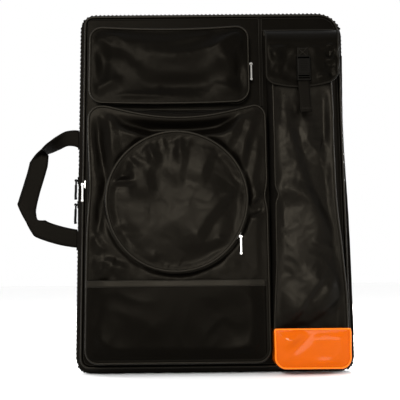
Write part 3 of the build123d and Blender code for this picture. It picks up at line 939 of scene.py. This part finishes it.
long_wall_z = np.linspace(patch_top - 0.004, long_rect[3], 150)
rises = np.linspace(0, 1, 10)
for side_name, pick, out in (("left", 0, -1), ("right", 1, 1)):
    wx = np.array([long_outline(r, long_wall_z)[pick] + out * 0.0022 * math.sin(math.pi * r)
                   * (1 + 0.5 * rough(long_wall_z, 0 * long_wall_z, 0.03, 63.0)) for r in rises])
    wd = long_base + (long_face - 0.0012 - long_base) * rises[:, None] + 0 * wx
    wz = long_wall_z + 0 * wx
    wall = sheet_piece(f"long_pocket_{side_name}_wall", wx, wd, wz, WALL_NYLON, flip=side_name == "left")
    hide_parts("long_pocket")

u, v = np.meshgrid(np.linspace(0, 1, 60), np.linspace(0, 1, 200))
z = patch_top - 0.004 + (long_rect[3] - patch_top + 0.004) * v
left, right = long_outline(1.0, z)
x = left + (right - left) * u
edge = np.minimum(u, 1 - u) * (right - left)
crown = 0.003 * ease(0, 0.035, edge) * ease(0.075, 0.12, z)
waves = (long_relief(x, z) * FOLD_SHARE + 0.0005 * crumpled(x, z, 0.06, 64.0)
         + 0.0004 * crumpled(x, z, 0.018, 65.0))
depth = long_face - 0.0012 + crown + waves * ease(0, 0.016, edge)
under_flap = ease(0.47, 0.5, z)
depth = depth * (1 - under_flap) + (long_face - 0.0012) * under_flap
depth = depth + 0.2 * puckers(x, z, edge, 66.0) * (1 - under_flap)
# The long pocket's face gets the lighter copy of the nylon: painted light.
long_front = sheet_piece("long_pocket_face", x, depth, z, LIT_NYLON)
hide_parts("long_pocket")
tube("long_pocket_rim_binding", line_at(x[-1], depth[-1] + 0.0002, z[-1]), 0.0017, BINDING, flatten=0.7)

pipe_z = np.linspace(patch_top - 0.002, long_rect[3], 160)
for side_name, pick in (("left", 0), ("right", 1)):
    line = line_at(long_outline(1.0, pipe_z)[pick], long_face + 0.0003, pipe_z)
    cord = tube(f"long_pocket_{side_name}_piping", line, 0.0018, BINDING)
    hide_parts("long_pocket_piping")

# end patch: glossy vinyl wrapped over the lower end, turned in at its rim
patch_rect = (*patch_box[:3], patch_top)
patch_face = depths("end_patch")[1]
patch_depth_back = long_base + 0.002


def patch_outline(rise):
    """The end's outline, which tapers a little from the panel to the face."""
    inset = 0.0022 * rise
    rect = (patch_rect[0] + inset + 0.0015, patch_rect[1] - inset, patch_rect[2] + inset * 0.6, patch_rect[3])
    sides = sides_of(rect, [0.018, 0.018, 0.0006, 0.0006])
    whole = np.concatenate([side[:-1] for side in sides])
    whole = resample(whole, 220, True)
    below_seam = whole[:, 1] < patch_rect[3] - 0.004
    whole[:, 0] += 0.0012 * rough(whole[:, 1], whole[:, 0], 0.03, 67.0) * below_seam
    return whole, sides


middle_x, middle_z = (patch_rect[0] + patch_rect[1]) / 2, (patch_rect[2] + patch_rect[3]) / 2


def patch_shrunk(x, z):
    """Points of the outline's plane moved in to where the wall's rounded rim ends."""
    return middle_x + (x - middle_x) * 0.99, middle_z + (z - middle_z) * 0.985


wall_rows = []
for rise in np.linspace(0, 1, 7):
    whole, _ = patch_outline(rise)
    round_over = 0.0016 * (1 - math.sqrt(max(0.0, 1 - max(0.0, rise - 0.75) ** 2 * 16)))
    inward = unit((middle_x, middle_z) - whole) * round_over
    d = patch_depth_back + (patch_face - 0.0008 - patch_depth_back) * rise
    wall_rows.append((whole[:, 0] + inward[:, 0], np.full(len(whole), d), whole[:, 1] + inward[:, 1]))
patch_wall = sheet_piece("end_patch_wall", *rows_of(wall_rows), ORANGE, slot="orange_pvc",
                         thickness=0.001, wrap=True)
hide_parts("end_patch")
_, patch_sides = patch_outline(1.0)
x, z, u, v = patch(patch_sides, 90, 56)
x, z = patch_shrunk(x, z)
edge = np.minimum(np.minimum(u, 1 - u) * 0.13, np.minimum(v, 1 - v) * 0.07)
relief = folds(
    x, z,
    creases=[(119, 50, 147, 82, 5, 4.8), (196, 20, 222, 70, 6, 1)],
    dents=[(178, 20.5, 18, 6, 2.2)],
)
depth = patch_face - 0.0008 + (0.0016 + relief + 0.0005 * rough(x, z, 0.03, 68.0)) * ease(0, 0.02, edge)
patch_front = sheet_piece("end_patch_face", x, depth, z, ORANGE, slot="orange_pvc")
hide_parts("end_patch")
edge_line, _ = patch_outline(1.0)
edge_x, edge_z = patch_shrunk(*edge_line.T)
# The rolled edge is drawn in the lighter orange: a painted highlight.
tube("end_patch_rolled_edge", line_at(edge_x, patch_face, edge_z), 0.0016, ORANGE_EDGE_HIGHLIGHT,
     closed=True)


# ---- divider tape and flap ----------------------------------------------------------------
def front_surface(x, z):
    """Depth of the front panel's cloth, as case_shell makes it."""
    return half_depth + 0.0013 + 0.0011 * rough(x, z, 0.13, 21.0) + 0.0005 * rough(x, z, 0.035, 31.0)


def webbing_strip(name, centre, across, body, slot="webbing", thickness=0.0014):
    """A flat strap: centre points and half-width vectors along it, both as (x, depth, z)."""
    rows = np.linspace(-1, 1, 7)
    x, d, z = [np.array([centre[:, k] + across[:, k] * r for r in rows]) for k in range(3)]
    return sheet_piece(name, x, d, z, WEBBING, body, slot, thickness=thickness)


divider_low, divider_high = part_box("divider_tape")
tape_z = np.linspace(divider_high[2], divider_low[2], 60)
tape_x = (divider_low[0] + divider_high[0]) / 2 - 0.002 + 0.0006 * rough(tape_z, 0 * tape_z, 0.05, 69.0)
tape_d = np.array([float(front_surface(np.array([a]), np.array([b]))[0]) for a, b in zip(tape_x, tape_z)])
tape = webbing_strip("divider_webbing", np.column_stack([tape_x, tape_d + 0.0014, tape_z]),
                     np.tile([0.0036, 0.0, 0.0], (60, 1)), "front_cover", "binding_tape")
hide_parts("divider_tape")
for side_name, shift in (("left", -0.0027), ("right", 0.0027)):
    line = line_at(tape_x + shift, tape_d + 0.0017, tape_z)
    stitches(f"divider_stitches_{side_name}", stitch_places(line, (0, -1, 0)))

strip_rect = box_rect("flap_seam_strip")
u, v = np.meshgrid(np.linspace(0, 1, 60), np.linspace(0, 1, 6))
x = strip_rect[0] + (strip_rect[1] - strip_rect[0]) * u
z = strip_rect[2] + (strip_rect[3] - strip_rect[2]) * v
depth = front_surface(x, z) + 0.0006 + 0.0006 * bump(v, 0.5, 0.3)
strip = sheet_piece("flap_seam_cloth", x, depth, z, BINDING)
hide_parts("flap_seam_strip")
line = line_at(x[-1], front_surface(x[-1], z[-1]) + 0.001, z[-1] - 0.0016)
stitches("flap_seam_stitches", stitch_places(line, (0, -1, 0)))

# flap: one curved sheet from its seam over the long pocket's mouth and down the front
flap_low, flap_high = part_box("flap")
flap_front = -flap_low[1]
flap_round = 0.02
seam_depth = -flap_high[1]


def flap_bottom(x):
    """Height of the flap's lower edge, bowed with rounded corners."""
    across = (x - (flap_low[0] + flap_high[0]) / 2) / ((flap_high[0] - flap_low[0]) / 2)
    bow = flap_low[2] + 0.012 * np.abs(across + 0.1) ** 2
    right = np.clip((x - (flap_high[0] - flap_round)) / flap_round, 0, 1)
    left = np.clip((flap_low[0] + flap_round * 0.7 - x) / (flap_round * 0.7), 0, 1)
    corner = flap_round * (1 - np.sqrt(1 - right**2)) + flap_round * 0.6 * (1 - np.sqrt(1 - left**2))
    return np.minimum(bow, flap_low[2] + 0.012 + 0.004) + corner


def flap_point(u, s):
    """u runs across, s down the flap: 0 at its seam, 1 at its lower edge; fall is 0 down to its bend."""
    edge_pull = 0.0028 * (0.5 + 0.5 * np.sin(s * 21 + 1.0)) * ease(0.25, 0.5, s)
    left = flap_low[0] + 0.0005
    right = flap_high[0] - 0.0005 - edge_pull * ease(0.3, 0.5, s) + 0.003 * ease(0.35, 0.15, s)
    x = left + (right - left) * u
    top_z, shoulder = flap_high[2] - 0.0005, 0.03
    over = np.clip(s / 0.38, 0, 1)
    fall = np.clip((s - 0.38) / 0.62, 0, 1)
    angle = over * math.pi / 2
    slump = 0.004 * np.sin(math.pi * u)
    depth = seam_depth + 0.0015 + (flap_front - seam_depth - 0.0015) * np.sin(angle)
    z = top_z - (shoulder + slump) * (1 - np.cos(angle))
    bend_z = top_z - shoulder - slump
    z = np.where(fall > 0, bend_z + (flap_bottom(x) - bend_z) * fall, z)
    return x, depth, z, fall


def flap_relief(x, z):
    return folds(
        x, z,
        creases=[
            (98, 588, 150, 580, 6, -3.5),
            (104, 548, 136, 574, 7, 4.2),
            (100, 572, 118, 584, 5, -3),
            (116, 556, 116, 520, 6, 3),
            (130, 558, 124, 520, 6, -3.2),
            (186, 600, 170, 566, 6, 3.4),
            (214, 574, 204, 566, 4, 4.8),
            (214, 560, 200, 550, 5, -4.5),
            (216, 543, 202, 538, 4, 4.8),
            (214, 530, 200, 536, 5, -4),
            (186, 508, 206, 512, 4, 4.2),
            (206, 520, 212, 506, 5, -3),
            (106, 515, 112, 540, 6, -2.8),
        ],
        dents=[(178, 545, 12, 40, 2), (140, 512, 20, 10, -2),
               (115, 500, 12, 10, 1.5)],
    )


u, s = np.meshgrid(np.linspace(0, 1, 90), np.linspace(0, 1, 90))
x, depth, z, fall = flap_point(u, s)
edge = np.minimum(np.minimum(u, 1 - u) * 0.13, (1 - s) * 0.14)
quiet = 1 - bump(x, 0.158, 0.016) * ease(0.575, 0.565, z)
loose = ease(0, 0.012, edge) * ease(0.02, 0.15, fall) * quiet
depth = depth + (flap_relief(x, z) * FOLD_SHARE + 0.0008 * crumpled(x, z, 0.035, 81.0)
                 + 0.0004 * rough(x, z, 0.014, 82.0)) * loose - 0.0006
depth = depth + 0.001 * rough(x, z, 0.05, 83.0) * bump(fall, 0.0, 0.12) * ease(0, 0.3, s)
# The flap gets the darker copy of the nylon: painted shade.
flap_cloth = sheet_piece("flap_cloth", x, depth, z, SHADED_NYLON, "flap", thickness=0.0014, flip=True)
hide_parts("flap")
left_edge, right_edge = [line_at(x[:, k], depth[:, k], z[:, k])[12:] for k in (0, -1)]
low_edge = line_at(x[-1], depth[-1], z[-1])[1:-1]
rim = np.concatenate([left_edge, low_edge, right_edge[::-1]])
binding = tube("flap_binding_tape", resample(rim, 150) - (0, 0.0004, 0), 0.0021, EDGE_TAPE, "flap",
               flatten=0.75)
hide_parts("flap_binding")

STRAP_STITCH = (0.002, 0.0007, 0.0007)

# webbing sewn to the flap with a crossed box, holding the socket
web_low, web_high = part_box("flap_webbing")
web_x = (web_low[0] + web_high[0]) / 2
web_z = np.linspace(web_high[2], web_low[2] - 0.004, 16)
web_centre = np.column_stack([np.full(16, web_x), np.full(16, flap_front + 0.0014), web_z])
web = webbing_strip("flap_webbing_strap", web_centre, np.tile([0.01, 0, 0], (16, 1)), "flap")
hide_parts("flap_webbing")
box_left, box_right = web_x - 0.008, web_x + 0.008
box_top, box_low = web_high[2] - 0.002, web_low[2] + 0.0035
corners = [(box_left, box_top), (box_right, box_top), (box_right, box_low), (box_left, box_low),
           (box_left, box_top), (box_right, box_low)]
places = []
for a, b in list(zip(corners[:-1], corners[1:])) + [((box_right, box_top), (box_left, box_low))]:
    ends = np.array([a, b])
    places += stitch_places(line_at(ends[:, 0], flap_front + 0.0019, ends[:, 1]), (0, -1, 0), 0.0026)
stitches("flap_webbing_stitches", places, "flap", STRAP_STITCH)

# strap tail: hangs from the plug, turned under at its end
tail_low, tail_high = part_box("strap_tail")
t = np.linspace(0, 1, 30)
tail_z = tail_high[2] + 0.006 - (tail_high[2] + 0.006 - tail_low[2]) * t
tail_x = web_x - 0.0005 + 0.003 * t**1.3
tail_d = -tail_low[1] - 0.0006 - 0.0012 * t + 0.0006 * np.sin(t * 5)
tail_centre = np.column_stack([tail_x, tail_d, tail_z])
tail = webbing_strip("strap_tail_webbing", tail_centre, np.tile([0.01, 0.0004, 0.0006], (30, 1)),
                     "buckle_plug")
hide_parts("strap_tail")
under = tail_centre[-6:] - np.array([0, 0.0012, 0])
webbing_strip("strap_tail_fold", under, np.tile([0.0097, 0.0004, 0.0006], (6, 1)), "buckle_plug")
line = line_at(tail_x[-4] + np.linspace(-0.0085, 0.0085, 8), tail_d[-4] + 0.0004, tail_z[-4])
stitches("strap_tail_stitches", stitch_places(line, (0, -1, 0), 0.0026), "buckle_plug",
         STRAP_STITCH)
for node in ("buckle_socket", "buckle_plug"):
    paint(node, BUCKLE)
socket_low, socket_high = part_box("buckle_socket")
rib_z = np.linspace(socket_low[2] + 0.006, socket_high[2] - 0.01, 5)
blocks("buckle_socket_ribs", [(np.array([web_x, socket_low[1] - 0.0001, a]), (1, 0, 0), (0, -1, 0))
                              for a in rib_z], (0.013, 0.0012, 0.0016), BUCKLE, "flap",
       bevel=0.0004)


# ---- handle -------------------------------------------------------------------------------
# stations along the webbing, in millimetres: its middle's x and z, then its half-width vector's x,
# depth and z
stations = np.array([
    (-246.2, 418.5, 0.0, 0.0, 16.5),
    (-256.0, 420.5, -1.0, 0.5, 15.0),
    (-270.0, 419.5, -2.5, 3.0, 13.0),
    (-285.0, 412.0, -3.5, 9.0, 9.0),
    (-300.0, 403.0, -4.0, 13.0, 4.5),
    (-312.0, 395.5, 0.0, 14.0, 2.5),
    (-316.0, 390.0, -9.0, 8.0, -2.0),
    (-317.0, 385.0, -15.5, 1.0, -4.0),
    (-319.0, 373.0, -16.5, 0.0, 3.5),
    (-324.0, 352.0, -16.0, 0.0, 4.0),
    (-331.5, 325.0, -16.0, -0.5, 4.5),
    (-338.0, 299.0, -16.8, 0.0, 4.5),
    (-338.5, 288.0, -17.0, 1.0, 8.5),
    (-329.0, 268.0, -10.5, 1.0, -2.0),
    (-314.5, 255.0, -10.0, 0.5, -14.5),
    (-299.0, 248.0, -5.5, 0.0, -16.0),
    (-276.0, 241.0, -3.5, 0.0, -16.5),
    (-257.0, 237.0, -2.0, 0.0, -16.5),
    (-246.2, 235.5, 0.0, 0.0, -16.5),
]) / 1000
HANDLE_POINTS = 120
centre = smooth_line(stations[:, :2], HANDLE_POINTS)
knots = along(stations[:, :2])
at = np.linspace(0, 1, HANDLE_POINTS) * knots[-1]
handle_low, handle_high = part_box("handle_loop")
handle_y = (handle_low[1] + handle_high[1]) / 2
halves = np.column_stack([np.interp(at, knots, column) for column in stations.T[2:]])
handle_centre = np.column_stack([centre[:, 0], 0 * at - handle_y, centre[:, 1]])
handle = webbing_strip("handle_webbing", handle_centre, halves, "handle", thickness=0.0018)
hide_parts("handle_loop")
normal = unit(np.cross(tangents(handle_centre), halves))
for side_name, share in (("inner", -0.8), ("outer", 0.8)):
    row = handle_centre + halves * share
    line, outs = line_at(*row.T)[3:-3], line_at(*normal.T)[3:-3]  # clear of the tabs' stitches
    outs = np.where(outs[:, 1:2] > 0, -outs, outs)
    steps = resample(line, 190)
    sides_out = np.column_stack([np.interp(along(steps), along(line), column) for column in outs.T])
    stitches(f"handle_stitches_{side_name}",
             [(p + unit(o) * 0.0003, d, o) for p, d, o in zip(steps, tangents(steps), sides_out)],
             "handle", (0.0018, 0.0007, 0.0007))

anchor_low, anchor_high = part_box("handle_anchors")
for name, low_z, high_z in (("lower", anchor_low[2], anchor_low[2] + 0.034),
                            ("upper", anchor_high[2] - 0.034, anchor_high[2])):
    zz, dd = np.meshgrid(np.linspace(low_z, high_z, 14), np.linspace(-0.004, -0.022, 8))
    xx = case_low[0] - 0.0015 + 0.0002 * rough(zz, dd, 0.02, 91.0)
    tab = sheet_piece(f"handle_{name}_tab", xx, dd, zz, WEBBING, "back_half", "webbing", thickness=0.0011)
    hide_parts("handle_anchors")
    roll = line_at(case_low[0] - 0.0034, -handle_y, np.linspace(low_z + 0.0004, high_z - 0.0004, 14))
    tube(f"handle_{name}_root_fold", roll, 0.002, WEBBING, "back_half", sides=12)
    places = []
    ring = [(-0.006, low_z + 0.004), (-0.02, low_z + 0.004), (-0.02, high_z - 0.004),
            (-0.006, high_z - 0.004), (-0.006, low_z + 0.004), (-0.02, high_z - 0.004)]
    for a, b in zip(ring[:-1], ring[1:]):
        ends = np.array([a, b])
        places += stitch_places(line_at(case_low[0] - 0.0018, ends[:, 0], ends[:, 1]), (-1, 0, 0), 0.0028)
    stitches(f"handle_{name}_tab_stitches", places, "back_half", STRAP_STITCH)

# ---- sliders and pulls --------------------------------------------------------------------
for where, metal in (("main_upper", BLACK_METAL), ("main_lower", BLACK_METAL), ("top_pocket", SILVER),
                     ("large_pocket", SILVER), ("round_pocket", SILVER)):
    paint(f"{where}_slider", metal)
    paint(f"{where}_pull", metal)
for where in ("main_upper", "main_lower"):
    pull_low, pull_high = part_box(f"{where}_pull")
    sleeve_z = np.linspace(pull_low[2] - 0.0004, pull_high[2] - 0.0105, 12)
    sleeve_x = pull_low[0] + 0.0024 - 0.0004 * bump(sleeve_z, sleeve_z[3], 0.006)
    tube(f"{where}_pull_sleeve", line_at(sleeve_x, 0.0, sleeve_z), 0.0023, SLEEVE, f"{where}_pull",
         sides=14)


# ---- light, floor and camera --------------------------------------------------------------
def area_light(name, place, target, size, power):
    """A rectangular light at a place, facing a target."""
    data = bpy.data.lights.new(name, "AREA")
    data.shape = "RECTANGLE"
    data.size, data.size_y = size
    data.energy = power
    light = bpy.data.objects.new(name, data)
    bpy.context.collection.objects.link(light)
    light.location = place
    direction = Vector(target) - Vector(place)
    light.rotation_euler = direction.to_track_quat("-Z", "Y").to_euler()


middle = ((case_rect[0] + case_rect[1]) / 2, 0.0, (case_rect[2] + case_rect[3]) / 2)
area_light("key softbox", (-0.6, -1.85, 0.98), middle, (0.6, 0.45), 42)
area_light("fill softbox", (1.2, -1.3, 0.7), middle, (0.5, 1.0), 3)
area_light("top strip", (0.0, -0.7, 1.8), middle, (1.4, 0.5), 2.5)
area_light("front softbox", (0.25, -2.6, 0.22), (0.05, 0.0, 0.25), (1.1, 0.45), 15)
area_light("back softbox", (0.75, 2.3, 1.05), middle, (0.9, 0.9), 70)
area_light("left side softbox", (-2.2, 0.55, 0.75), middle, (0.7, 0.9), 30)
area_light("right side softbox", (2.2, 0.55, 0.75), middle, (0.7, 0.9), 30)

bpy.context.scene.view_settings.view_transform = "Standard"
world = bpy.data.worlds.new("white studio")
bpy.context.scene.world = world
world.use_nodes = True
background = world.node_tree.nodes["Background"]
background.inputs["Color"].default_value = (1, 1, 1, 1)
background.inputs["Strength"].default_value = 1.0

floor_mesh = bpy.data.meshes.new("floor")
reach = 12.0
floor_mesh.from_pydata([(-reach, -reach, 0), (reach, -reach, 0), (reach, reach, 0), (-reach, reach, 0)],
                       [], [(0, 1, 2, 3)])
floor = bpy.data.objects.new("floor", floor_mesh)
bpy.context.collection.objects.link(floor)
floor_mesh.materials.append(Graph("pale floor", Base_Color=(0.96, 0.96, 0.96, 1), Roughness=0.8).material)

eye = Vector((-0.028, -1.1, 0.165))
yaw, pitch, roll = math.radians(0.2), math.radians(7.13), math.radians(-0.58)
forward = Vector((math.sin(yaw) * math.cos(pitch), math.cos(yaw) * math.cos(pitch), math.sin(pitch)))
camera_data = bpy.data.cameras.new("camera")
camera_data.sensor_width = 36.0
camera_data.lens = 55.2
camera = bpy.data.objects.new("camera", camera_data)
bpy.context.collection.objects.link(camera)
camera.location = eye
camera.rotation_euler = forward.to_track_quat("-Z", "Y").to_euler()
camera.rotation_euler.rotate_axis("Z", roll)
bpy.context.scene.camera = camera
